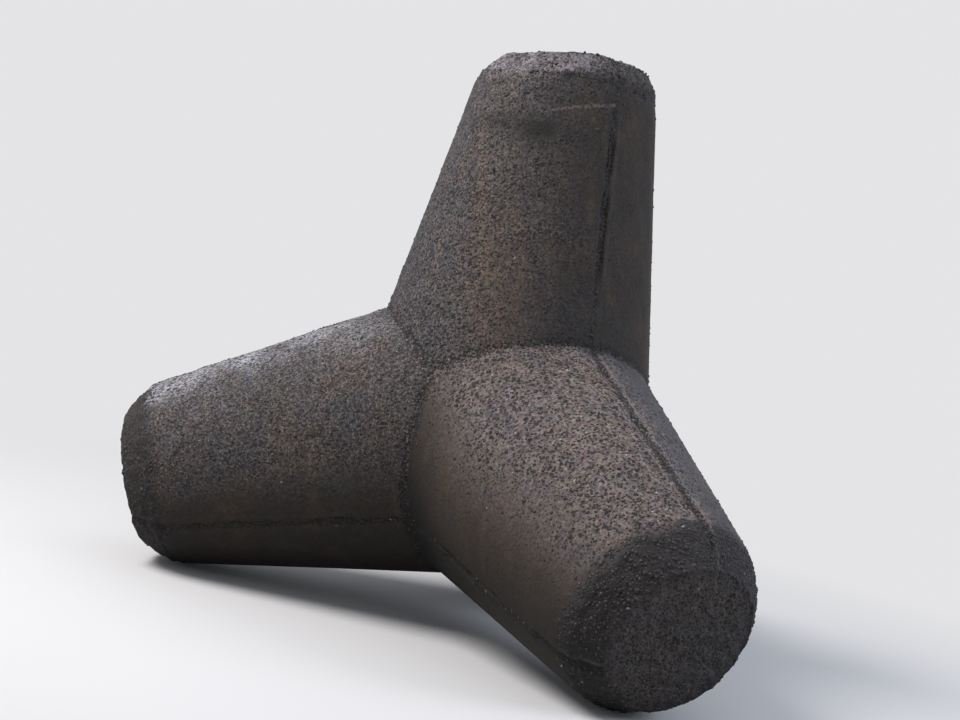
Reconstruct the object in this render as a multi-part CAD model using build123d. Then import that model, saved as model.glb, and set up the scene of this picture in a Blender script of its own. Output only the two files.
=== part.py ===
from build123d import *
import math
import os

# A tetrapod for sea walls and breakwaters, cast in one pour of plain concrete.
# Four tapering round legs meet at one point, on the axes of a regular tetrahedron.
# It stands on three legs, and the fourth points straight up.
# The frame's origin is the point where the four leg axes meet, +Z runs up the fourth leg,
# and one of the three lower legs points towards -X. All sizes are in millimetres.

# Legs, from the four-tonne class of such blocks
leg_length = 1151.0  # from the meeting point to the flat end face
root_diameter = 840.0  # the cone's width where two legs meet
root_station = 297.0  # how far from the meeting point that width is measured
tip_diameter = 540.0  # the cone's width at the end face, before its edge is bevelled
lower_azimuths = (180.0, 300.0, 60.0)  # of the three lower legs, turned from +X

# Bevelled end of each leg
bevel_length = 86.0  # along the leg
bevel_depth = 66.0  # inwards from the cone
shoulder_radius = 30.0  # rounding between cone and bevel
rim_radius = 18.0  # rounding between bevel and end face

# Fin left along each joint between the four shells of the mould
fin_width = 9.0
fin_height = 4.0

# Angles of a regular tetrahedron
leg_dip = math.asin(1 / 3)  # how far a lower leg points below level
half_spread = math.acos(-1 / 3) / 2  # half of the angle between two legs

# Sizes that follow
taper = (root_diameter - tip_diameter) / 2 / (leg_length - root_station)
shoulder_station = leg_length - bevel_length


def cone_radius(station):
    """The cone's radius at a distance along the leg from the meeting point."""
    return root_diameter / 2 - taper * (station - root_station)


shoulder = cone_radius(shoulder_station)
rim = shoulder - bevel_depth


def leg_directions():
    """Unit vectors along the upright leg and then along the three lower ones."""
    level, down = math.cos(leg_dip), -math.sin(leg_dip)
    turns = [math.radians(azimuth) for azimuth in lower_azimuths]
    lower = [Vector(level * math.cos(turn), level * math.sin(turn), down) for turn in turns]
    return [Vector(0, 0, 1)] + lower


def leg_side(last_station, proud=0.0):
    """Points down a leg's side from its end's centre, and the radii of the two rounded corners.

    Each point is a station along the leg and a radius, and the line can stand proud of the leg.
    """
    points = [
        (leg_length, 0),
        (leg_length, rim + proud),
        (shoulder_station, shoulder + proud),
        (last_station, cone_radius(last_station) + proud),
    ]
    return points, [rim_radius + proud, shoulder_radius + proud]


def make_leg(direction, others):
    """One leg, cut off where it meets the other three, midway between their axes."""
    points, radii = leg_side(last_station=0)
    side = FilletPolyline(*[(radius, station) for station, radius in points], radius=radii)
    core = Polyline(side @ 1, (0, 0), side @ 0)
    leg = revolve(Plane.XZ * make_face([side, core]), Axis.Z)
    # The seam edge of the turned faces lies under the fin towards the first of the others.
    sideways = others[0] - direction * direction.dot(others[0])
    leg = Plane(origin=(0, 0, 0), x_dir=sideways, z_dir=direction) * leg
    for other in others:
        midway = Plane(origin=(0, 0, 0), z_dir=direction - other)
        leg = split(leg, bisect_by=midway, keep=Keep.TOP)
    return leg


def in_joint_plane(station, radius, side):
    """A point in the plane of two legs, at a station and radius of the leg on that side.

    The plane's x runs midway between the legs, and the radius counts towards the other leg.
    """
    level, rise = math.cos(half_spread), math.sin(half_spread)
    return station * level + radius * rise, side * (station * rise - radius * level)


def make_fin():
    """The fin of one mould joint: in along one leg to the crease, and out along the next."""
    crease_station = (cone_radius(0) + fin_height) / (math.tan(half_spread) + taper)
    points, radii = leg_side(crease_station, fin_height)
    there = [in_joint_plane(station, radius, 1) for station, radius in points]
    back = [in_joint_plane(station, radius, -1) for station, radius in points[-2::-1]]
    crest = FilletPolyline(*there, *back, radius=radii + [0] + radii[::-1])
    core = Polyline(crest @ 1, (0, 0), crest @ 0)
    return extrude(make_face([crest, core]), fin_width / 2, both=True)


def make_tetrapod():
    """The four legs, with a fin in the plane of each two of them."""
    directions = leg_directions()
    fin = make_fin()
    pieces = []
    for i, direction in enumerate(directions):
        pieces.append(make_leg(direction, directions[i + 1 :] + directions[:i]))
        for other in directions[i + 1 :]:
            between = (direction + other).normalized()
            plane = Plane(origin=(0, 0, 0), x_dir=between, z_dir=between.cross(direction - other))
            pieces.append(plane * fin)
    return pieces[0].fuse(*pieces[1:])


if __name__ == "__main__":
    os.makedirs("parts", exist_ok=True)
    export_step(make_tetrapod(), "parts/tetrapod.step")
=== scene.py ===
import itertools
import math
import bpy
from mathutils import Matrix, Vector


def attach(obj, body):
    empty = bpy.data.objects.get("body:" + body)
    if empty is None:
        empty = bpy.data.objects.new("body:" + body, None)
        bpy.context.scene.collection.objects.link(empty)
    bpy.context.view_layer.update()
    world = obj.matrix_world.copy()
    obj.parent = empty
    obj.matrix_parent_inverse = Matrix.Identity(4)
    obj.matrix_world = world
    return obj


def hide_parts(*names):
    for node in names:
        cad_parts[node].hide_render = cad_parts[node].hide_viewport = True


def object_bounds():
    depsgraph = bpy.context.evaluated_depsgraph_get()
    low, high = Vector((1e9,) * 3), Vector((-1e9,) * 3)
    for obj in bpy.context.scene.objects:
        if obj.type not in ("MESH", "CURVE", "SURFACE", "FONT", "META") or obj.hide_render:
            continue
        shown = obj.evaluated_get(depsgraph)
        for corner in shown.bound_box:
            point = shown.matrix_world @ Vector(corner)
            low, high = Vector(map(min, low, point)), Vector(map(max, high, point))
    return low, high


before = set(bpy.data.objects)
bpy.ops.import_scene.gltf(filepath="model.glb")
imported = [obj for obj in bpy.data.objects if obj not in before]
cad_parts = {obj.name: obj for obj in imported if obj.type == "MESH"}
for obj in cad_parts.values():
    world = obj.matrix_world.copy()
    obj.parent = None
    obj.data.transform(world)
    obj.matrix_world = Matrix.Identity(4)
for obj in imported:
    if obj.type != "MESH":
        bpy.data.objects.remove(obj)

from types import SimpleNamespace

import bmesh
import bpy
import numpy as np
from mathutils import Matrix, Vector

cad_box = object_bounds()

# The mould's sizes, in metres. The origin is where the four leg axes meet.
leg_length = 1.151
cone_at_origin = 0.47217  # radius the cone would have at the meeting point
taper = 0.175644
bevel_length = 0.086
bevel_depth = 0.066
shoulder_rounding = 0.030
rim_rounding = 0.018
leg_dip = math.asin(1 / 3)
leg_azimuths = (180, 300, 60)  # of the left, front and back legs

# Wear, in metres
shell_wave = 0.0022  # the mould's steel shells weren't quite true
shell_step = 0.0022  # one shell stood this far behind the next
skin_lost = 0.0012  # where the weather reached
fin_proud = 0.0035
honeycomb_depth = 0.011
edge_wear = 0.007
end_roughness = 0.007
end_fringe_wear = 0.006  # on the upright leg, where its struck end runs over the rim
mortar_lost = 0.004  # between the stones of bevels and ends
stone_gap = 0.030  # from one such stone to the next
fuller_bevel = 0.019  # the upright leg's bevel is up to this much fuller, most on its right
end_slope = 0.004  # the upright leg was struck off lower at its front left by this much
end_crown = 0.004  # and was left higher in its middle
end_heap = 0.019  # and was heaped by this much on its right
end_reach = 0.24  # from that end's middle to just past its rim

# The concrete's grain, in metres
gravel_spacing = 0.0098  # fine gravel, the commonest
pit_spacing = 0.0066  # pits left by lost sand and small bubbles
stone_spacing = 0.024  # stones of 10 to 14 mm, fewer
pale_grain_spacing = 0.0075
sand_spacing = 0.0085  # real sand is 1 to 3 mm; drawn this coarse so that it shows
ragged_size = 0.007  # unevenness of the stones' and pits' outlines

# Patches of tone, in metres
cloud_size = 0.35  # uneven mixing and drying
growth_size = 0.16  # grey growth and iron stains
blotch_size = 0.09
tint_size = 0.032
mottle_size = 0.030
streak_width, streak_length = 0.045, 0.60

# Where the sky, the rain and the spray came from while the block leaned on its neighbours
weather_side = np.array(Vector((-0.386, -0.247, 0.889)).normalized())
weather_line = np.array([0.34, 0.10, 0.64, 0.40])  # how far round each leg the weather reached
open_side = np.array([0.50, 0.83, 0.25])  # the far sides stood open to the rain as well
up_as_it_lay = np.array(Vector((-0.239, -0.158, 0.958)).normalized())
across_as_it_lay = np.array([0.98, 0.0, 0.198])
across_front_leg = np.array([0.866, 0.5, 0.0])
as_it_lay = Vector(up_as_it_lay).rotation_difference(Vector((0, 0, 1))).to_euler()

# Ochre runs on the upright leg's front: place across, width, and from which height to which
ochre_runs = (
    (-0.051, 0.013, 0.42, 0.90),
    (0.056, 0.012, 0.40, 0.66),
    (0.150, 0.009, 0.45, 0.75),
    (0.272, 0.012, 0.60, 1.00),
)
# The damp patch beside their tops: where its middle is across and up, and how far it spreads
damp_across, damp_height, damp_half_width, damp_half_height = 0.100, 0.900, 0.13, 0.042

backdrop_colour = "#E4E4E6"


def leg_axes():
    """Unit vectors along the upright, left, front and back legs."""
    axes = [Vector((0, 0, 1))]
    for azimuth in leg_azimuths:
        turn = math.radians(azimuth)
        level = math.cos(leg_dip)
        axes.append(Vector((level * math.cos(turn), level * math.sin(turn), -math.sin(leg_dip))))
    return axes


axes = leg_axes()
axis_rows = np.array([list(axis) for axis in axes])


def cone_radius(station):
    """The mould's radius at a distance along a leg from the meeting point."""
    return cone_at_origin - taper * station


shoulder_station = leg_length - bevel_length
shoulder_radius = cone_radius(shoulder_station)
rim_radius = shoulder_radius - bevel_depth


# Random grain that is the same in every run. Sizes are in metres, and each seed gives another grain.


def chance(cells, seed):
    """A number from 0 to 1 for each whole-numbered cell."""
    x, y, z = (cells[..., i].astype(np.int64) for i in range(3))
    mixed = (x * 73856093) ^ (y * 19349663) ^ (z * 83492791) ^ (seed * 26544357)
    mixed = (mixed ^ (mixed >> 15)) * 2246822519 & 0xFFFFFFFF
    mixed = (mixed ^ (mixed >> 13)) * 3266489917 & 0xFFFFFFFF
    return ((mixed ^ (mixed >> 16)) & 0xFFFFFF) / 0xFFFFFF


def lumps(points, size, seed):
    """Smooth lumps and hollows from -1 to 1, each about size across."""
    cells = points / size
    low = np.floor(cells)
    part = cells - low
    part = part * part * (3 - 2 * part)
    height = np.zeros(len(points))
    for step in itertools.product((0, 1), repeat=3):
        share = np.prod(np.where(step, part, 1 - part), axis=1)
        height += share * chance(low + step, seed)
    return height * 2 - 1


def rough(points, size, seed, layers=3):
    """Lumps with smaller lumps on them, from about -1 to 1."""
    height, share, total = np.zeros(len(points)), 1.0, 0.0
    for layer in range(layers):
        height += share * lumps(points, size / 2**layer, seed + layer)
        total += share
        share *= 0.55
    return height / total * 1.5


def pebbled(points, spacing, seed):
    """Distance from each point to the nearest of scattered centres, in spacings."""
    cells = points / spacing
    low = np.floor(cells)
    nearest = np.full(len(points), np.inf)
    for step in itertools.product((-1, 0, 1), repeat=3):
        cell = low + step
        centre = np.stack([chance(cell, seed + i) for i in range(3)], axis=1)
        nearest = np.minimum(nearest, np.linalg.norm(cell + centre - cells, axis=1))
    return nearest


def ease(value, start, end):
    """0 before start, 1 past end, and smooth between them."""
    part = np.clip((value - start) / (end - start), 0, 1)
    return part * part * (3 - 2 * part)


def fade(value, start, end):
    """1 before start, 0 past end, and smooth between them."""
    return 1 - ease(value, start, end)


def hump(value, middle, width):
    """1 at the middle, and less and less on both sides."""
    return np.exp(-(((value - middle) / width) ** 2))


# The clean casting


def angles_round_leg():
    """Angles round a leg from one mould joint, close together beside each joint."""
    half = [0.0]
    for step, last in ((0.40, 3.2), (0.85, 8.3), (2.07, 60.0)):  # degrees
        count = round((last - half[-1]) / step)
        half += list(np.linspace(half[-1], last, count + 1)[1:])
    sector = half[:-1] + [120 - angle for angle in reversed(half)][:-1]
    return np.radians([start + angle for start in (0, 120, 240) for angle in sector])


def rounded_corner(before, at, after, radius, count):
    """Points round a corner of a leg's side, as stations and radii."""
    before, at, after = (np.array(point) for point in (before, at, after))
    inward = (before - at) / np.linalg.norm(before - at)
    outward = (after - at) / np.linalg.norm(after - at)
    half = math.acos(float(inward @ outward)) / 2
    middle = (inward + outward) / np.linalg.norm(inward + outward)
    centre = at + middle * radius / math.sin(half)
    start = at + inward * radius / math.tan(half) - centre
    end = at + outward * radius / math.tan(half) - centre
    turn = math.pi - 2 * half
    return [
        centre + (math.sin(turn * (1 - t)) * start + math.sin(turn * t) * end) / math.sin(turn)
        for t in np.linspace(0, 1, count)
    ]


def leg_end_side():
    """The side of a leg's end, from the cone round the shoulder and rim nearly to the middle."""
    on_cone = (0.5, cone_radius(0.5))
    at_shoulder = (shoulder_station, shoulder_radius)
    at_rim = (leg_length, rim_radius)
    shoulder = rounded_corner(on_cone, at_shoulder, at_rim, shoulder_rounding, 4)
    rim = rounded_corner(at_shoulder, at_rim, (leg_length, 0), rim_rounding, 5)
    bevel = np.linspace(shoulder[-1], rim[0], 9)[1:-1]
    innermost = 0.010
    face = [np.array((leg_length, r)) for r in np.linspace(rim[-1][1], innermost, 20)[1:]]
    return shoulder + list(bevel) + rim + face


def casting_shape(cone_rows=70, crowding=1.12):
    """Points and faces of the four legs, which share their points along the creases."""
    angles = angles_round_leg()
    count = len(angles)
    from_joint = np.abs((np.degrees(angles) + 60) % 120 - 60)
    lean = np.cos(np.radians(from_joint))
    crease = cone_at_origin * lean / (math.sqrt(2) + taper * lean)
    end_side = leg_end_side()
    rows = []
    for part in np.linspace(0, 1, cone_rows + 1)[:-1] ** crowding:
        station = crease + (end_side[0][0] - crease) * part
        rows.append((station, cone_radius(station)))
    rows += [(np.full(count, station), np.full(count, radius)) for station, radius in end_side]

    points, faces = [], []
    for i, axis in enumerate(axes):
        towards = axes[0] if i else axes[1]
        sideways = (towards - axis * axis.dot(towards)).normalized()
        across = axis.cross(sideways)
        axis, sideways, across = (np.array(list(v)) for v in (axis, sideways, across))
        first = len(points)
        for station, radius in rows:
            ring = station[:, None] * axis + (radius * np.cos(angles))[:, None] * sideways
            points += list(ring + (radius * np.sin(angles))[:, None] * across)
        points.append(axis * leg_length)
        for row in range(len(rows) - 1):
            low, high = first + row * count, first + (row + 1) * count
            for j in range(count):
                k = (j + 1) % count
                faces.append((low + j, low + k, high + k, high + j))
        last, middle = first + (len(rows) - 1) * count, len(points) - 1
        faces += [(last + j, last + (j + 1) % count, middle) for j in range(count)]

    points = np.array(points)
    places = np.round(points, 6)
    _, kept, renumbered = np.unique(places, axis=0, return_index=True, return_inverse=True)
    renumbered = renumbered.reshape(-1)
    faces = [tuple(int(renumbered[v]) for v in face) for face in faces]
    return points[kept], faces


def read_place(points):
    """What each point is near to: its leg, station, radius, mould joint and crease."""
    along = points @ axis_rows.T
    leg = along.argmax(axis=1)
    station = along[np.arange(len(points)), leg]
    away = points - station[:, None] * axis_rows[leg]
    radius = np.linalg.norm(away, axis=1)
    others = along.copy()
    others[np.arange(len(points)), leg] = -np.inf
    other = others.argmax(axis=1)
    crease = (station - others.max(axis=1)) * math.sqrt(3 / 8)
    upright = np.cross(axis_rows[leg], axis_rows[other])
    upright /= np.linalg.norm(upright, axis=1)[:, None]
    # The sign is the same on both legs of a joint, so that a shell keeps its side.
    upright[leg > other] *= -1
    joint = np.einsum("ij,ij->i", points, upright)
    return leg, station, radius, joint, crease


def struck_off(points, radius):
    """How far below the mould's mouth the upright leg's end was struck off, at each point."""
    lower_side = 0.5 - 0.5 * (points[:, :2] @ np.array([0.80, 0.60])) / end_reach
    heap = end_heap * ease(points[:, 0], -0.16, 0.08)
    return end_slope * np.clip(lower_side, 0, 1) + end_crown * (radius / end_reach) ** 2 - heap


def fill_out_bevel(points):
    """The upright leg's end, whose bevel came out fuller on the right than on the left."""
    leg, station, radius, _, _ = read_place(points)
    slope = math.atan2(bevel_depth, bevel_length)
    from_axis = np.maximum(radius, 1e-6)
    share = 0.16 + 0.84 * ease(points[:, 0] / from_axis, -0.55, 0.55)
    near_end = (leg == 0) & (station > shoulder_station - 0.014) & (radius > rim_radius - 0.03)
    out = fuller_bevel * share * near_end * ease(radius, rim_radius - 0.03, rim_radius)
    higher = np.minimum(station + out * math.sin(slope), leg_length)
    wider = np.minimum(radius + out * math.cos(slope), cone_radius(higher))
    wider = np.where(near_end, wider, radius)
    higher = np.where(near_end, higher, station)
    # The end slopes, and the bevel below it follows
    filled = points.copy()
    filled[:, :2] *= (wider / from_axis)[:, None]
    higher -= struck_off(filled, wider) * ease(higher, leg_length - 0.075, leg_length - 0.004)
    filled[:, 2] = np.where(leg == 0, higher, points[:, 2])
    return np.where((leg == 0)[:, None], filled, points)


# The casting's wear. Each function is given where all points are, and what they are near to. Lengths
# are in metres, and how far something holds runs from 0 to 1.


def find_ends(at):
    """How far each point belongs to an end face, its ragged fringe, a bevel or a worn edge."""
    reach = at.station + struck_off(at.points, at.radius) * (at.leg == 0)
    face = ease(reach, leg_length - 0.012, leg_length - 0.002) * fade(at.radius, 0.208, 0.232)
    narrowest, more_in_front, frayed, soft_edge = 0.012, 0.046, 0.034, 0.024
    front_left = 0.5 - 0.5 * (at.points[:, :2] @ np.array([0.70, 0.71])) / end_reach
    width = narrowest + more_in_front * np.clip(front_left, 0, 1.1)
    width += frayed * (0.5 + 0.5 * rough(at.points, 0.05, seed=65))
    fringe = ease(reach, leg_length - width - soft_edge, leg_length - width)
    fringe *= (at.radius < 0.30) * (at.leg == 0)
    chipped_back = (at.leg > 0) * 0.040 * (0.55 + 0.45 * rough(at.points, 0.06, seed=67))
    bevel = ease(at.station + chipped_back, shoulder_station - 0.032, shoulder_station + 0.014)
    from_rim = np.hypot(reach - leg_length, at.radius - rim_radius)
    worn_shoulder, worn_rim = 0.020, 0.026
    edge = np.maximum(
        0.8 * hump(at.station, shoulder_station, worn_shoulder), hump(from_rim, 0, worn_rim)
    )
    return SimpleNamespace(face=face, fringe=fringe, bevel=bevel * (1 - face), edge=edge)


def find_exposure(at, ends, far_side):
    """How far the weather has worn each point."""
    uneven, soft_below, soft_above = 0.09, 0.34, 0.30
    line = weather_line[at.leg] + uneven * rough(at.points, 0.20, seed=11)
    faced = ease(at.normals @ weather_side, line - soft_below, line + soft_above)
    behind = far_side * (0.66 + 0.30 * rough(at.points, 0.22, seed=13))
    return np.maximum(np.maximum(faced, behind), 0.85 * np.maximum(ends.bevel, ends.face))


def wear_joints(at, ends, exposure):
    """Broken fins, the hind shell's step, honeycomb where grout leaked away, dirt, painted crease shade,
    a painted highlight.
    """
    near = np.abs(at.joint)
    leaked = ease(rough(at.points, 0.11, seed=41), -0.25, 0.55)
    ragged = 0.5 + 0.5 * lumps(at.points, 0.034, seed=45)
    broken = ease(lumps(at.points, 0.026, seed=43), -0.35, 0.25)
    fin_left = ease(rough(at.points, 0.05, seed=47), 0.0, 0.7) * (1 - 0.6 * exposure)
    fin = fin_proud * fin_left * fade(near, 0.0022, 0.0055) * (1 - ends.face)
    step = shell_step * ease(at.joint, -0.003, 0.003) * fade(near, 0.10, 0.26)
    hollow = fade(near, 0.006, 0.013 + 0.013 * ragged) * leaked * (0.35 + 0.65 * ragged)
    honeycomb = honeycomb_depth * hollow * (1 - ends.face) * ease(at.crease, 0.0, 0.05)

    # Most grout was lost half way up the upright leg, and none where its bevel was trowelled
    trowelled = ease(at.height, 0.985, 1.03) * (at.leg == 0)
    open_joint = np.choose(at.leg, [0.35 + 0.65 * ease(at.height, 0.38, 0.68), 1.0, 1.55, 1.0])
    band_edge = 0.008 + (0.010 + 0.010 * exposure) * ragged * open_joint
    kept_dirt = np.where(at.leg == 2, 0.95, 0.45 + 0.55 * np.maximum(broken, 0.8 * exposure))
    dark_band = np.maximum(hollow * open_joint, fade(near, 0.003, band_edge) * kept_dirt)
    dark_band *= (1 - 0.8 * trowelled) * (1 - ends.face)
    # Dirt and painted shade along a crease
    crease_dirt_and_shade = fade(at.crease, 0.002, 0.014 + 0.032 * ragged) * (0.40 + 0.75 * leaked * broken)
    # Grout dried pale beside the joint, and a painted highlight of the shell's step
    lip = hump(at.joint, 0.023, 0.006) * (0.45 + 0.55 * leaked) * (0.2 + 0.8 * exposure)
    lip *= 0.35 + 0.65 * ease(rough(at.points, 0.04, seed=49), -0.2, 0.4)
    looks = {
        # Joint dirt, and along the creases dirt with painted shade
        "dark_band": np.clip(np.maximum(dark_band, crease_dirt_and_shade), 0, 1),
        "pale_lip": lip * (1 - trowelled) * (1 - ends.face),
    }
    return fin - step - honeycomb, looks


def wear_edges_and_ends(at, ends):
    """Chipped edges, and rough ends: the upright one was struck off by hand at the mould's mouth."""
    chips = ease(rough(at.points, 0.075, seed=51), 0.05, 0.75)
    worn_edge = ends.edge * (0.30 + 0.25 * rough(at.points, 0.05, seed=55) + 0.9 * chips)
    hand_struck = np.where(at.leg == 0, 1.0, 0.45)
    small = 0.35 - 0.5 * rough(at.points, 0.055, seed=63, layers=2)
    uneven = 0.30 - 0.5 * rough(at.points, 0.15, seed=61) + 0.45 * small
    frayed = (0.5 + 0.5 * rough(at.points, 0.05, seed=64)) * (1 - 0.5 * ends.face)
    between_stones = ease(pebbled(at.points, stone_gap, seed=71), 0.25, 0.75)
    return (
        -edge_wear * worn_edge
        - end_roughness * hand_struck * uneven * ends.face
        - end_fringe_wear * ends.fringe * frayed
        - mortar_lost * between_stones * np.maximum(ends.bevel, ends.face)
    )


def marks_on_upright_leg(at):
    """Ochre runs and a damp patch, where water ran down the upright leg's front."""
    on_front = (at.leg == 0) * (at.points[:, 1] < 0)
    runs = np.zeros(len(at.points))
    for middle, width, foot, top in ochre_runs:
        wander = middle + 0.012 * lumps(at.points, 0.13, seed=91)
        run = hump(at.across, wander, width) * ease(at.height, foot - 0.08, foot + 0.05)
        run *= fade(at.height, top - 0.06, top + 0.06)
        runs += run * (0.55 + 0.45 * lumps(at.points, 0.07, seed=93))
    patch = hump(at.across, damp_across, damp_half_width)
    patch *= hump(at.height, damp_height, damp_half_height)
    patch *= np.exp(0.6 * rough(at.points, 0.06, seed=95))
    return {"run": np.clip(runs * on_front, 0, 1), "wet": np.clip(patch * on_front, 0, 1)}


def grime_shade_and_tints(at, ends, exposure, far_side):
    """Grime and painted shade that each leg keeps, and where its concrete is bluer or redder."""
    # Painted shade mixed with grime: the upright leg darker on its right, the left leg below its top, the
    # front leg on its sheltered side and by the crease
    on_upright = 0.66 + 0.38 * hump(at.across, 0.22, 0.15)
    on_left = 0.34 + 0.60 * fade(at.upward, 0.72, 0.95) - 0.55 * fade(at.upward, -0.10, 0.50)
    near_crease = fade(at.crease, 0.0, 0.20) * fade(at.rightward, -0.16, -0.05)
    on_front = 0.07 + 0.85 * (1 - exposure) + 0.55 * near_crease
    on_back = 0.3 * (1 - exposure)
    kept_grime_and_shade = np.choose(at.leg, [on_upright, on_left, on_front, on_back]) * (1 - ends.fringe)
    kept_grime_and_shade -= far_side * (0.50 + kept_grime_and_shade)

    past_joint = ease(at.rightward, 0.010, 0.060) * fade(at.rightward, 0.18, 0.34)
    on_top = ease(at.upward, 0.55, 0.95)
    # Bluer tint on top-facing sides and on the upright leg's left edge: painted sky light. Past the front
    # leg's joint: the other shell's greyer concrete.
    cool = [0.7 * fade(at.across, -0.15, -0.03), 0.9 * on_top, past_joint, 0.5 * on_top]
    ruddy_upright = hump(at.across, -0.02, 0.10) * fade(at.height, 0.50, 0.85)
    ruddy_top = 0.45 * on_top * fade(at.rightward, -0.12, 0.02)
    ruddy_front = (ruddy_top + 0.75 * (1 - exposure)) * (1 - past_joint)
    return {
        # Painted shade: darker the more a side faces down as the block lay, plus the grime and painted
        # shade above
        "shade_and_grime": fade(at.upward, -0.60, 0.95) + kept_grime_and_shade,
        "cool": np.clip(np.choose(at.leg, cool), 0, 1),
        "ruddy": np.clip(np.choose(at.leg, [ruddy_upright, 0.0, ruddy_front, 0.0]), 0, 1),
    }


def wear_casting(points, normals):
    """How far each point of the clean casting moves outwards, and how its surface looks."""
    leg, station, radius, joint, crease = read_place(points)
    at = SimpleNamespace(
        points=points, normals=normals, leg=leg, station=station, radius=radius, joint=joint,
        crease=crease, height=points[:, 2], across=points @ across_as_it_lay,
        rightward=points @ across_front_leg, upward=normals @ up_as_it_lay,
    )
    ends = find_ends(at)
    far_side = ease(normals @ open_side, 0.15, 0.60)
    exposure = find_exposure(at, ends, far_side)

    move = shell_wave * (lumps(points, 0.42, seed=21) - 1) * 0.5
    move -= skin_lost * exposure * (rough(points, 0.045, seed=31) + 1)
    at_joints, looks = wear_joints(at, ends, exposure)
    move += at_joints + wear_edges_and_ends(at, ends)

    # Salt dried where spray lies on top of the left leg, with a painted sheen of sky light there
    salt_and_sheen = ease(at.upward + 0.20 * rough(points, 0.09, seed=81), 0.74, 1.16)
    struck_end = ends.fringe * ease(at.upward, 0.25, 0.80)
    struck_end *= 1 - 0.75 * ease(points[:, 0], 0.03, 0.11)
    # The front leg's bevel is darkest: bare stones and painted shadow
    share_of_bevel = np.array([0.34, 0.75, 1.0, 0.75])
    share_of_silt = np.array([0.35, 0.9, 0.0, 0.6])  # silt closes the pits
    looks |= marks_on_upright_leg(at)
    looks |= grime_shade_and_tints(at, ends, exposure, far_side)
    looks |= {
        "exposure": exposure,
        "bevel": np.maximum(ends.bevel, 0.6 * ends.edge) * share_of_bevel[leg],
        "silt": share_of_silt[leg],
        "leg_end": ends.face,
        "struck_end": struck_end,
        # Darker towards the bottom as the block lay: damp, and painted shade
        "lowness": fade(points @ up_as_it_lay, -0.42, 0.08) * (1 - 0.35 * ends.face),
        "salt_and_sheen": salt_and_sheen * ease(station, 0.15, 0.65) * (leg == 1),
    }
    return move, looks


# The two pieces


def make_mesh(name, points, faces, looks):
    """A smooth mesh with its looks kept as numbers at its points."""
    mesh = bpy.data.meshes.new(name)
    mesh.from_pydata([tuple(point) for point in points], [], faces)
    for look, numbers in looks.items():
        layer = mesh.attributes.new(look, "FLOAT", "POINT")
        layer.data.foreach_set("value", np.asarray(numbers, dtype=np.float32))
    mesh.polygons.foreach_set("use_smooth", [True] * len(mesh.polygons))
    mesh.update()
    piece = bpy.data.objects.new(name, mesh)
    bpy.context.collection.objects.link(piece)
    return piece


def read_all(items, name, width=1, kind=np.float64):
    """One number from each item of a mesh, or a row of several."""
    numbers = np.empty(len(items) * width, dtype=kind)
    items.foreach_get(name, numbers)
    return numbers.reshape(-1, width) if width > 1 else numbers


def kept_in_box(points):
    """The points, held inside the solid's box except for the heap on the upright leg's end."""
    low, high = (np.array(list(side)) for side in cad_box)
    return np.clip(points, low, high + [0, 0, end_heap])


def make_casting():
    """The whole block, worn as the sea left it."""
    points, faces = casting_shape()
    points = fill_out_bevel(points)
    clean = bpy.data.meshes.new("clean")
    clean.from_pydata([tuple(point) for point in points], [], faces)
    normals = read_all(clean.vertices, "normal", 3)
    bpy.data.meshes.remove(clean)
    move, looks = wear_casting(points, normals)
    return make_mesh("concrete_casting", kept_in_box(points + move[:, None] * normals), faces, looks)


def plain_stone():
    """A stone's twelve corners, each at distance 1, and its twenty sides."""
    golden = (1 + math.sqrt(5)) / 2
    knobs = [(0, a, b * golden) for a in (-1, 1) for b in (-1, 1)]
    knobs = np.array([k[i:] + k[:i] for k in knobs for i in range(3)]) / math.hypot(1, golden)
    hull = bmesh.new()
    for knob in knobs:
        hull.verts.new(knob)
    bmesh.ops.convex_hull(hull, input=hull.verts)
    hull.verts.index_update()
    bmesh.ops.recalc_face_normals(hull, faces=hull.faces)
    sides = [tuple(v.index for v in face.verts) for face in hull.faces]
    knobs = np.array([list(v.co) for v in hull.verts])
    hull.free()
    return knobs, sides


def spread_out(places, count, clearance):
    """The numbers of the first places that lie clear of each other."""
    taken, kept = {}, []
    for i, place in enumerate(places):
        cell = tuple(np.floor(place / clearance).astype(int))
        near = itertools.product(*[(c - 1, c, c + 1) for c in cell])
        if len(kept) < count and all(
            np.linalg.norm(places[j] - place) > clearance for c in near for j in taken.get(c, ())
        ):
            taken.setdefault(cell, []).append(i)
            kept.append(i)
    return kept


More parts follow.
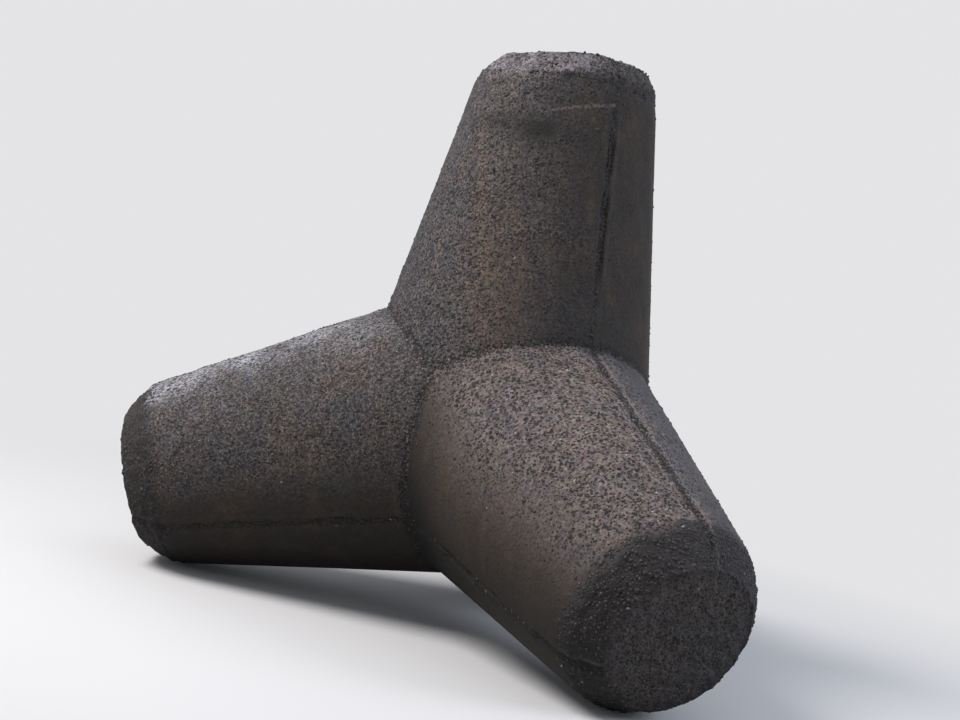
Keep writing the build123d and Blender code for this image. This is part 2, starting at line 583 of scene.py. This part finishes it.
def make_gravel(casting, count=9800, clearance=0.0075):
    """Stones that stand proud where mortar has gone: on bevels, rims, ends, joints and creases."""
    random = np.random.default_rng(7)
    mesh = casting.data
    mesh.calc_loop_triangles()
    corners = read_all(mesh.loop_triangles, "vertices", 3, np.int64)
    points, normals = (read_all(mesh.vertices, name, 3) for name in ("co", "normal"))
    look = {name: read_all(layer.data, "value") for name, layer in mesh.attributes.items()
            if name in ("exposure", "bevel", "dark_band", "leg_end", "shade_and_grime", "struck_end")}
    bare = look["bevel"] + 0.9 * look["dark_band"] + 0.35 * look["leg_end"] + 0.10 * look["exposure"]
    bare *= np.clip(1 - 0.7 * look["shade_and_grime"], 0.1, 1) * (1 - 0.40 * look["struck_end"])
    side, other_side = (points[corners[:, i]] - points[corners[:, 0]] for i in (1, 2))
    area = np.linalg.norm(np.cross(side, other_side), axis=1) / 2
    odds = area * bare[corners].mean(axis=1)
    chosen = corners[random.choice(len(corners), count * 2, p=odds / odds.sum())]
    share = random.dirichlet((1, 1, 1), len(chosen))
    places = np.einsum("ij,ijk->ik", share, points[chosen])
    outward = np.einsum("ij,ijk->ik", share, normals[chosen])
    outward /= np.linalg.norm(outward, axis=1)[:, None]

    knobs, sides = plain_stone()
    smallest, larger = 0.0032, 0.0040  # half of a stone's width, and how much more it can be
    spans = ((0.9, 1.5), (0.8, 1.1), (0.6, 0.8))  # of its length, width and height for that
    all_points, all_faces, tones = [], [], []
    for number, i in enumerate(spread_out(places, count, clearance)):
        up = outward[i]
        along = np.cross(up, random.normal(size=3))
        along /= np.linalg.norm(along)
        across = np.cross(up, along)
        size = smallest + larger * random.random() ** 2
        half = size * np.array([random.uniform(*span) for span in spans])
        lumpy = knobs * (1 + random.uniform(-0.16, 0.16, (len(knobs), 1))) * half
        sunk = up * half[2] * random.uniform(0.15, 0.6)
        all_points.append(lumpy @ np.array([along, across, up]) + places[i] - sunk)
        all_faces += [tuple(number * len(knobs) + v for v in face) for face in sides]
        tones += [random.random()] * len(knobs)
    shape = kept_in_box(np.concatenate(all_points))
    return make_mesh("exposed_gravel", shape, all_faces, {"stone_tone": tones})


# Materials

# Sockets of a mix: how much of the second covers the first, the two colours, or else two numbers
amount, under, over = 0, 6, 7
number_under, number_over = 2, 3


def linear(hex_colour):
    """An sRGB hex colour as linear red, green, blue and alpha."""
    parts = [int(hex_colour[i : i + 2], 16) / 255 for i in (1, 3, 5)]
    return [p / 12.92 if p <= 0.04045 else ((p + 0.055) / 1.055) ** 2.4 for p in parts] + [1.0]


def add(tree, kind, inputs=None, **settings):
    """Add a node with its settings, its input values and its links.

    A node that is given as an input stands for the first of its outputs that is in use, and a
    colour is given as sRGB hex.
    """
    made = tree.nodes.new(kind)
    for name, value in settings.items():
        setattr(made, name, value)
    for socket, value in (inputs or {}).items():
        if isinstance(value, bpy.types.Node):
            value = next(output for output in value.outputs if output.enabled)
        if isinstance(value, bpy.types.NodeSocket):
            tree.links.new(value, made.inputs[socket])
        else:
            made.inputs[socket].default_value = linear(value) if isinstance(value, str) else value
    return made


def start_material(name):
    """A new material, its nodes and its shader."""
    material = bpy.data.materials.new(name)
    material.use_nodes = True
    return material, material.node_tree, material.node_tree.nodes["Principled BSDF"]


def concrete_patterns(tree):
    """What the concrete's finishes share: looks, grain of several sizes, and how worn it is."""
    place = add(tree, "ShaderNodeTexCoord").outputs["Object"]
    looks = {
        name: add(tree, "ShaderNodeAttribute", attribute_name=name).outputs["Fac"]
        for name in ("exposure", "dark_band", "pale_lip", "bevel", "struck_end", "lowness", "shade_and_grime",
                     "salt_and_sheen", "run", "wet", "silt", "cool", "ruddy")
    }
    # Clouds of tone from uneven mixing and drying, and blotches a hand wide
    clouds = add(tree, "ShaderNodeTexNoise",
                 {"Vector": place, "Scale": 1 / cloud_size, "Detail": 4.0, "Roughness": 0.6})
    tone = add(tree, "ShaderNodeMapRange", {"Value": clouds, "From Min": 0.36, "From Max": 0.64})
    blotches = add(tree, "ShaderNodeTexNoise",
                   {"Vector": place, "Scale": 1 / blotch_size, "Detail": 4.0, "Roughness": 0.65})
    patch = add(tree, "ShaderNodeMapRange", {"Value": blotches, "From Min": 0.36, "From Max": 0.66})
    grit = add(tree, "ShaderNodeTexNoise",
               {"Vector": place, "Scale": 1 / sand_spacing, "Detail": 3.0, "Roughness": 0.6})
    mottle = add(tree, "ShaderNodeTexNoise",
                 {"Vector": place, "Scale": 1 / mottle_size, "Detail": 5.0, "Roughness": 0.7})

    # The edge of the weathered side is ragged at the size of the blotches
    ragged = add(tree, "ShaderNodeMath", {0: patch, 1: 0.5}, operation="SUBTRACT")
    spread = add(tree, "ShaderNodeMath", {0: ragged, 1: 0.25, 2: looks["exposure"]},
                 operation="MULTIPLY_ADD")
    worn = add(tree, "ShaderNodeMapRange", {"Value": spread, "From Min": 0.05, "From Max": 0.95})

    # Iron stains, and grey growth of the same size
    growth = add(tree, "ShaderNodeTexNoise",
                 {"Vector": place, "Scale": 1 / growth_size, "Detail": 6.0, "Roughness": 0.72})
    warm = add(tree, "ShaderNodeMapRange",
               {"Value": growth, "From Min": 0.47, "From Max": 0.33, "To Max": 0.42})
    cold = add(tree, "ShaderNodeMapRange",
               {"Value": growth, "From Min": 0.50, "From Max": 0.66, "To Max": 0.62})

    # Sand grains and mottling shade the colour. The sheltered skin is smoother.
    sanded = add(tree, "ShaderNodeMapRange", {
        "Value": grit, "From Min": 0.38, "From Max": 0.62, "To Min": 0.48, "To Max": 1.54,
    })
    mottled = add(tree, "ShaderNodeMapRange", {
        "Value": mottle, "From Min": 0.32, "From Max": 0.68, "To Min": 0.72, "To Max": 1.22,
    })
    full_shade = add(tree, "ShaderNodeMath", {0: sanded, 1: mottled}, operation="MULTIPLY")
    rougher = add(tree, "ShaderNodeMath", {0: worn, 1: 0.60, 2: 0.40}, operation="MULTIPLY_ADD")
    shade = add(tree, "ShaderNodeMix", {amount: rougher, number_under: 1.0, number_over: full_shade},
                data_type="FLOAT")

    # Places moved a little to and fro give stones and pits their uneven outlines
    warp = add(tree, "ShaderNodeTexNoise", {"Vector": place, "Scale": 1 / ragged_size, "Detail": 1.0})
    offset = add(tree, "ShaderNodeVectorMath", {0: warp.outputs["Color"], 1: (0.5, 0.5, 0.5)},
                 operation="SUBTRACT")
    shifted = add(tree, "ShaderNodeVectorMath", {0: offset, 1: (0.006, 0.006, 0.006), 2: place},
                  operation="MULTIPLY_ADD")
    return SimpleNamespace(
        place=place, looks=looks, tone=tone, blotches=blotches, patch=patch, grit=grit, mottle=mottle,
        ragged=ragged, worn=worn, warm=warm, cold=cold, shade=shade, warp=warp, shifted=shifted,
    )


def bare_mortar(tree, cast):
    """Tan where it is worn, brown skin where it isn't, with cold growth, painted bluish sky light on
    top-facing sides, and warm iron stains.
    """
    tan = add(tree, "ShaderNodeMix",
              {amount: cast.tone, under: "#706766", over: "#625B5D"}, data_type="RGBA")
    skin = add(tree, "ShaderNodeMix",
               {amount: cast.patch, under: "#564C46", over: "#473F3B"}, data_type="RGBA")
    plain = add(tree, "ShaderNodeMix", {amount: cast.worn, under: skin, over: tan}, data_type="RGBA")
    colder = add(tree, "ShaderNodeMath", {0: cast.worn, 1: 0.86, 2: 0.14}, operation="MULTIPLY_ADD")
    cold_worn = add(tree, "ShaderNodeMath", {0: cast.cold, 1: colder}, operation="MULTIPLY")
    # Painted sky light: bluer on top-facing sides and the upright leg's left edge; past the front leg's
    # joint the shell's own grey
    beyond = add(tree, "ShaderNodeMath", {0: cast.looks["cool"], 1: 0.55}, operation="MULTIPLY")
    coldest = add(tree, "ShaderNodeMath", {0: cold_worn, 1: beyond}, operation="MAXIMUM")
    growth_and_sky_tinted = add(tree, "ShaderNodeMix", {amount: coldest, under: plain, over: "#565863"},
                    data_type="RGBA")
    redder = add(tree, "ShaderNodeMath", {0: cast.looks["ruddy"], 1: 0.40}, operation="MULTIPLY")
    warmest = add(tree, "ShaderNodeMath", {0: cast.warm, 1: redder}, operation="MAXIMUM")
    return add(tree, "ShaderNodeMix", {amount: warmest, under: growth_and_sky_tinted, over: "#7C6454"},
               data_type="RGBA")


def with_ochre_runs(tree, cast, colour):
    """Ochre runs, 20 mm wide and half a metre long, straight down as the block lay."""
    turned = add(tree, "ShaderNodeMapping", {"Vector": cast.place, "Rotation": as_it_lay})
    narrow, long = 1 / streak_width, 1 / streak_length
    stretched = add(tree, "ShaderNodeMapping", {"Vector": turned, "Scale": (narrow, narrow, long)})
    streaks = add(tree, "ShaderNodeTexNoise", {"Vector": stretched, "Scale": 1.0, "Detail": 2.0})
    faint = add(tree, "ShaderNodeMapRange",
                {"Value": streaks, "From Min": 0.56, "From Max": 0.76, "To Max": 0.30})
    ochre = add(tree, "ShaderNodeMath", {0: cast.looks["run"], 1: 0.55, 2: faint},
                operation="MULTIPLY_ADD", use_clamp=True)
    return add(tree, "ShaderNodeMix", {amount: ochre, under: colour, over: "#8A7759"},
               data_type="RGBA")


def with_gravel(tree, cast, colour):
    """Dark pits and gravel, cut by the surface at chance depths, and how dark each place is."""
    gravel = add(tree, "ShaderNodeTexVoronoi", {
        "Vector": cast.shifted, "Scale": 1 / gravel_spacing, "Randomness": 0.92,
    }, feature="F1")
    stones = add(tree, "ShaderNodeTexVoronoi", {"Vector": cast.shifted, "Scale": 1 / stone_spacing},
                 feature="F1")
    reach = add(tree, "ShaderNodeMapRange", {"Value": cast.worn, "To Min": 0.09, "To Max": 0.33})
    density = add(tree, "ShaderNodeMath", {0: cast.patch, 1: 0.06, 2: reach},
                  operation="MULTIPLY_ADD")
    in_gravel = add(tree, "ShaderNodeMath", {0: density, 1: gravel}, operation="SUBTRACT")
    stone_reach = add(tree, "ShaderNodeMath", {0: cast.worn, 1: 0.15, 2: 0.10},
                      operation="MULTIPLY_ADD")
    in_stone = add(tree, "ShaderNodeMath", {0: stone_reach, 1: stones}, operation="SUBTRACT")
    inside = add(tree, "ShaderNodeMath", {0: in_gravel, 1: in_stone}, operation="MAXIMUM")
    cut = add(tree, "ShaderNodeMapRange", {"Value": inside, "From Min": -0.05, "From Max": 0.08})
    clear = add(tree, "ShaderNodeMapRange",
                {"Value": cast.looks["silt"], "To Min": 1.0, "To Max": 0.66})
    speck = add(tree, "ShaderNodeMath", {0: cut, 1: clear}, operation="MULTIPLY")

    # Most are near black, a third brown, and one in sixty pale
    kind = add(tree, "ShaderNodeSeparateColor", {0: gravel.outputs["Color"]})
    brown = add(tree, "ShaderNodeMapRange",
                {"Value": kind.outputs["Red"], "From Min": 0.62, "From Max": 0.72})
    pale = add(tree, "ShaderNodeMapRange",
               {"Value": kind.outputs["Green"], "From Min": 0.982, "From Max": 0.988})
    dark_stone = add(tree, "ShaderNodeMix",
                     {amount: brown, under: "#1F1B1C", over: "#3C3432"}, data_type="RGBA")
    stone = add(tree, "ShaderNodeMix", {amount: pale, under: dark_stone, over: "#9C9792"},
                data_type="RGBA")
    specked = add(tree, "ShaderNodeMix", {amount: speck, under: colour, over: stone},
                  data_type="RGBA")
    return specked, speck


def with_fine_grain(tree, cast, colour):
    """Finer pits between the stones, pale grains of coarse sand, and faint tints."""
    fine = add(tree, "ShaderNodeTexVoronoi", {
        "Vector": cast.shifted, "Scale": 1 / pit_spacing, "Randomness": 0.95,
    }, feature="F1")
    pitted = add(tree, "ShaderNodeMapRange",
                 {"Value": fine, "From Min": 0.42, "From Max": 0.27, "To Max": 0.80})
    silted = add(tree, "ShaderNodeMapRange",
                 {"Value": cast.looks["silt"], "From Max": 0.35, "To Min": 0.25})
    fine_worn = add(tree, "ShaderNodeMath", {0: silted, 1: cast.worn}, operation="MULTIPLY")
    fine_share = add(tree, "ShaderNodeMath", {0: pitted, 1: fine_worn}, operation="MULTIPLY")
    finely_pitted = add(tree, "ShaderNodeMix",
                        {amount: fine_share, under: colour, over: "#2F2A2A"}, data_type="RGBA")

    grains = add(tree, "ShaderNodeTexVoronoi",
                 {"Vector": cast.shifted, "Scale": 1 / pale_grain_spacing}, feature="F1")
    bright = add(tree, "ShaderNodeMapRange", {"Value": grains, "From Min": 0.32, "From Max": 0.20})
    lit = add(tree, "ShaderNodeMapRange",
              {"Value": cast.looks["silt"], "To Min": 0.30, "To Max": 0.78})
    lit_worn = add(tree, "ShaderNodeMath", {0: lit, 1: cast.worn}, operation="MULTIPLY")
    on_worn = add(tree, "ShaderNodeMath", {0: bright, 1: lit_worn}, operation="MULTIPLY")
    speckled = add(tree, "ShaderNodeMix",
                   {amount: on_worn, under: finely_pitted, over: "#A29A93"}, data_type="RGBA")

    # Faint red, green and blue tints, a finger's breadth across, from salts, iron and algae
    hues = add(tree, "ShaderNodeTexNoise",
               {"Vector": cast.place, "Scale": 1 / tint_size, "Detail": 1.0, "Roughness": 0.6})
    swing, least = 0.32, 0.83
    tint = add(tree, "ShaderNodeVectorMath",
               {0: hues.outputs["Color"], 1: [swing] * 3, 2: [least] * 3}, operation="MULTIPLY_ADD")
    tinted = add(tree, "ShaderNodeVectorMath", {0: speckled, 1: tint}, operation="MULTIPLY")
    return add(tree, "ShaderNodeVectorMath", {0: tinted, "Scale": cast.shade}, operation="SCALE")


def with_ends_and_bevels(tree, cast, colour):
    """A struck end of paler grey with its mortar washed out, and dark bare bevels, the front leg's with
    painted shadow.
    """
    looks = cast.looks
    end_tone = add(tree, "ShaderNodeMix",
                   {amount: cast.patch, under: "#837F88", over: "#4A474C"},
                   data_type="RGBA")
    end_warm = add(tree, "ShaderNodeMix", {amount: cast.warm, under: end_tone, over: "#937E76"},
                   data_type="RGBA")
    end_shade = add(tree, "ShaderNodeVectorMath", {0: end_warm, "Scale": cast.shade},
                    operation="SCALE")
    end_share = add(tree, "ShaderNodeMath", {0: looks["struck_end"], 1: 0.66}, operation="MULTIPLY")
    ended = add(tree, "ShaderNodeMix", {amount: end_share, under: colour, over: end_shade},
                data_type="RGBA")
    # Dark bevels of bare stones; on the front leg also painted shadow
    bare = add(tree, "ShaderNodeMath", {0: looks["bevel"], 1: looks["struck_end"]},
               operation="SUBTRACT", use_clamp=True)
    bevelled = add(tree, "ShaderNodeMath", {0: bare, 1: 0.88}, operation="MULTIPLY")
    return add(tree, "ShaderNodeMix", {amount: bevelled, under: ended, over: "#252124"},
               data_type="RGBA")


def with_shell_edge(tree, cast, colour):
    """The pale line of a shell's top edge on the upright leg, 9 mm wide, level as the block lay."""
    upwards, line_height, waver = (-0.299, 0.020, 0.954), 0.926, 0.014
    pale_half, faded_half = 0.0026, 0.0066
    height = add(tree, "ShaderNodeVectorMath", {0: cast.place, 1: upwards}, operation="DOT_PRODUCT")
    wavy = add(tree, "ShaderNodeMath", {0: cast.mottle, 1: waver, 2: height},
               operation="MULTIPLY_ADD")
    off_line = add(tree, "ShaderNodeMath", {0: wavy, 1: line_height}, operation="SUBTRACT")
    from_line = add(tree, "ShaderNodeMath", {0: off_line}, operation="ABSOLUTE")
    line = add(tree, "ShaderNodeMapRange",
               {"Value": from_line, "From Min": faded_half, "From Max": pale_half, "To Max": 0.95})
    gaps = add(tree, "ShaderNodeMapRange",
               {"Value": cast.grit, "From Min": 0.42, "From Max": 0.56, "To Min": 0.15})
    # It fades out on the left, ends at the joint on the right, and is on the front only
    parts = add(tree, "ShaderNodeSeparateXYZ", {0: cast.place})
    shown, right, front = (
        add(tree, "ShaderNodeMapRange", {"Value": parts.outputs[side], "From Min": out, "From Max": full})
        for side, out, full in (("X", -0.10, 0.0), ("X", 0.155, 0.140), ("Y", -0.05, -0.12))
    )
    for part in (right, front, line, gaps):
        shown = add(tree, "ShaderNodeMath", {0: shown, 1: part}, operation="MULTIPLY")
    return add(tree, "ShaderNodeMix", {amount: shown, under: colour, over: "#A3978F"},
               data_type="RGBA")


def with_damp_dirt_shade_and_highlight(tree, cast, colour):
    """The damp patch, dirt in honeycomb, dirt and painted shade in creases, and a pale strip by a joint,
    partly painted highlight.
    """
    looks = cast.looks
    wetted = add(tree, "ShaderNodeMath", {0: looks["wet"], 1: 0.94}, operation="MULTIPLY")
    wet = add(tree, "ShaderNodeMix", {amount: wetted, under: colour, over: "#2C2827"},
              data_type="RGBA")
    # Pale grout beside the joint, partly a painted highlight of the shell's step
    lip = add(tree, "ShaderNodeMath", {0: looks["pale_lip"], 1: 0.60}, operation="MULTIPLY")
    lipped = add(tree, "ShaderNodeMix", {amount: lip, under: wet, over: "#A3A1A8"},
                 data_type="RGBA")
    # Blobs as small as the gravel break up the edge of the dirt and painted crease shade
    blobs = add(tree, "ShaderNodeMapRange", {
        "Value": cast.warp, "From Min": 0.38, "From Max": 0.60, "To Min": -1.05, "To Max": 0.50,
    })
    rough_edge = add(tree, "ShaderNodeMath", {0: cast.ragged, 1: 0.5, 2: blobs},
                     operation="MULTIPLY_ADD")
    on_dark_band = add(tree, "ShaderNodeMapRange", {"Value": looks["dark_band"], "From Max": 0.35})
    dirt_and_shade_edge = add(tree, "ShaderNodeMath", {0: rough_edge, 1: on_dark_band, 2: looks["dark_band"]},
                    operation="MULTIPLY_ADD")
    # Near black: dirt in the honeycomb, and dirt with painted shade along the creases
    dirt_and_shade = add(tree, "ShaderNodeMapRange",
               {"Value": dirt_and_shade_edge, "From Min": 0.25, "From Max": 0.58, "To Max": 0.95})
    return add(tree, "ShaderNodeMix", {amount: dirt_and_shade, under: lipped, over: "#151315"},
               data_type="RGBA")


def with_salt_sheen_shade_and_grime(tree, cast, colour):
    """Salt with a painted sheen of sky light on top, damp and painted shade low down, and grime with
    painted shade.
    """
    caught = add(tree, "ShaderNodeMapRange", {"Value": cast.grit, "From Min": 0.40, "From Max": 0.62})
    lying = add(tree, "ShaderNodeMath", {0: cast.looks["salt_and_sheen"], 1: 0.95}, operation="MULTIPLY")
    sheen_and_salt_grains = add(tree, "ShaderNodeMath", {0: caught, 1: lying}, operation="MULTIPLY")
    # Painted sheen of sky light, with the pale salt, on the left leg's top
    salted_and_sheened = add(tree, "ShaderNodeMix", {amount: sheen_and_salt_grains, under: colour, over: "#C8CAD6"},
                 data_type="RGBA")
    # Damp and painted shade darken it towards the bottom
    damp_and_shade = add(tree, "ShaderNodeMapRange",
               {"Value": cast.looks["lowness"], "To Min": 1.0, "To Max": 0.50})
    # Grime and painted shade darken the colour
    grime_shade = add(tree, "ShaderNodeMapRange",
                   {"Value": cast.looks["shade_and_grime"], "To Min": 1.0, "To Max": 0.54}, clamp=False)
    dimmed = add(tree, "ShaderNodeMath", {0: damp_and_shade, 1: grime_shade}, operation="MULTIPLY")
    return add(tree, "ShaderNodeVectorMath", {0: salted_and_sheened, "Scale": dimmed}, operation="SCALE")


def weathered_concrete():
    """Plain concrete, poured against steel and then worn by sea and rain.

    The weathered sides have lost their skin: dark pits and dark stones stand close together in
    tan mortar. The sheltered sides keep a smooth brown skin with few pits and thin rusty runs.
    """
    material, tree, shader = start_material("weathered_concrete")
    shader.inputs["IOR"].default_value = 1.5
    cast = concrete_patterns(tree)
    colour = with_ochre_runs(tree, cast, bare_mortar(tree, cast))
    colour, speck = with_gravel(tree, cast, colour)
    for finish in (with_fine_grain, with_ends_and_bevels, with_shell_edge, with_damp_dirt_shade_and_highlight,
                   with_salt_sheen_shade_and_grime):
        colour = finish(tree, cast, colour)
    tree.links.new(colour.outputs["Vector"], shader.inputs["Base Color"])

    # Damp concrete is smoother
    roughness = add(tree, "ShaderNodeMapRange",
                    {"Value": cast.looks["lowness"], "To Min": 0.86, "To Max": 0.66})
    tree.links.new(roughness.outputs["Result"], shader.inputs["Roughness"])

    # Pits a few millimetres deep, sand grains, and shallow lumps
    pit_depth = add(tree, "ShaderNodeBump", {"Height": speck, "Distance": 0.004, "Strength": 0.8},
                    invert=True)
    sand_depth = add(tree, "ShaderNodeBump",
                     {"Height": cast.grit, "Distance": 0.003, "Strength": 0.5, "Normal": pit_depth})
    lump_depth = add(tree, "ShaderNodeBump", {
        "Height": cast.blotches, "Distance": 0.012, "Strength": 0.45, "Normal": sand_depth,
    })
    tree.links.new(lump_depth.outputs["Normal"], shader.inputs["Normal"])
    return material


def sea_worn_gravel():
    """River gravel in the concrete, rounded and rubbed dull by sand: near black, and some brown."""
    material, tree, shader = start_material("sea_worn_gravel")
    shader.inputs["IOR"].default_value = 1.54
    shader.inputs["Roughness"].default_value = 0.62
    place = add(tree, "ShaderNodeTexCoord").outputs["Object"]
    tone = add(tree, "ShaderNodeAttribute", attribute_name="stone_tone").outputs["Fac"]
    brown = add(tree, "ShaderNodeMapRange", {"Value": tone, "From Min": 0.70, "From Max": 0.95})
    pale = add(tree, "ShaderNodeMapRange", {"Value": tone, "From Min": 0.990, "From Max": 0.993})
    dark = add(tree, "ShaderNodeMix",
               {amount: brown, under: "#282426", over: "#443D3A"}, data_type="RGBA")
    stone = add(tree, "ShaderNodeMix", {amount: pale, under: dark, over: "#7C7876"},
                data_type="RGBA")
    vein_size = 0.004
    veins = add(tree, "ShaderNodeTexNoise", {"Vector": place, "Scale": 1 / vein_size, "Detail": 3.0})
    shade = add(tree, "ShaderNodeMapRange", {"Value": veins, "To Min": 0.6, "To Max": 1.4})
    shaded = add(tree, "ShaderNodeVectorMath", {0: stone, "Scale": shade}, operation="SCALE")
    tree.links.new(shaded.outputs["Vector"], shader.inputs["Base Color"])
    bump = add(tree, "ShaderNodeBump", {"Height": veins, "Distance": 0.001, "Strength": 0.5})
    tree.links.new(bump.outputs["Normal"], shader.inputs["Normal"])
    return material


def pale_floor():
    """A plain pale studio floor, which runs into the backdrop's own colour away from the block."""
    material, tree, shader = start_material("pale_floor")
    shader.inputs["Roughness"].default_value = 0.95
    seen = add(tree, "ShaderNodeLightPath").outputs["Is Camera Ray"]
    paint = add(tree, "ShaderNodeMix",
                {amount: seen, under: "#A6A4A2", over: "#DADADC"}, data_type="RGBA")
    tree.links.new(paint.outputs["Result"], shader.inputs["Base Color"])
    place = add(tree, "ShaderNodeTexCoord").outputs["Object"]
    away = add(tree, "ShaderNodeVectorMath", {0: place}, operation="LENGTH")
    far = add(tree, "ShaderNodeMapRange", {"Value": away, "From Min": 1.2, "From Max": 3.6},
              interpolation_type="SMOOTHSTEP")
    backdrop = add(tree, "ShaderNodeEmission", {"Color": backdrop_colour, "Strength": 1.0})
    far_seen = add(tree, "ShaderNodeMath", {0: seen, 1: far}, operation="MULTIPLY")
    blend = add(tree, "ShaderNodeMixShader", {0: far_seen, 1: shader, 2: backdrop})
    tree.links.new(blend.outputs["Shader"], tree.nodes["Material Output"].inputs["Surface"])
    return material


# The studio


def make_floor(material, half=30.0):
    """A wide floor under the block's feet."""
    foot = cad_box[0][2]
    points = [(-half, -half, foot), (half, -half, foot), (half, half, foot), (-half, half, foot)]
    mesh = bpy.data.meshes.new("floor")
    mesh.from_pydata(points, [], [(0, 1, 2, 3)])
    mesh.materials.append(material)
    floor = bpy.data.objects.new("floor", mesh)
    bpy.context.collection.objects.link(floor)


def light_room():
    """A pale room, a large soft lamp up on the left and a weak, cooler one low on the right."""
    world = bpy.data.worlds.new("room")
    world.use_nodes = True
    tree = world.node_tree
    room = tree.nodes["Background"]
    room.inputs["Color"].default_value = linear("#E6EAF0")
    room.inputs["Strength"].default_value = 0.54
    backdrop = add(tree, "ShaderNodeBackground", {"Color": backdrop_colour, "Strength": 1.0})
    seen = add(tree, "ShaderNodeLightPath").outputs["Is Camera Ray"]
    either = add(tree, "ShaderNodeMixShader", {0: seen, 1: room, 2: backdrop})
    tree.links.new(either.outputs["Shader"], tree.nodes["World Output"].inputs["Surface"])
    bpy.context.scene.world = world

    lit_middle = Vector((0, 0, 0.2))
    for name, size, power, colour, spot in (
        ("soft_lamp", 3.2, 400, "#FFFBF8", (-4.0, -1.4, 4.6)),
        ("fill_lamp", 2.4, 84, "#E8F0FF", (4.2, -1.2, 1.8)),
    ):
        lamp = bpy.data.lights.new(name, "AREA")
        lamp.shape = "DISK"
        lamp.size = size
        lamp.energy = power
        lamp.color = linear(colour)[:3]
        holder = bpy.data.objects.new(name, lamp)
        bpy.context.collection.objects.link(holder)
        holder.location = spot
        aim = lit_middle - holder.location
        holder.rotation_euler = aim.to_track_quat("-Z", "Y").to_euler()


def set_camera():
    """The camera, as far away and as high as the photograph's was.

    The block stands upright here and leaned in the photograph, so the camera is tilted instead.
    """
    eye = Vector((-0.077, -4.650, 0.319))
    target = Vector((-0.100, 0.0, 0.190))
    tilt = math.radians(11.4)
    camera = bpy.data.cameras.new("camera")
    camera.sensor_width = 36.0
    camera.lens = 55.5
    holder = bpy.data.objects.new("camera", camera)
    bpy.context.collection.objects.link(holder)
    facing = (target - eye).to_track_quat("-Z", "Y").to_matrix()
    holder.matrix_world = Matrix.Translation(eye) @ (facing @ Matrix.Rotation(tilt, 3, "Z")).to_4x4()
    bpy.context.scene.camera = holder


casting = make_casting()
casting.data.materials.append(weathered_concrete())
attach(casting, "root")
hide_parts("tetrapod")

gravel = make_gravel(casting)
gravel.data.materials.append(sea_worn_gravel())
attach(gravel, "root")

make_floor(pale_floor())
light_room()
set_camera()
bpy.context.scene.view_settings.view_transform = "Standard"
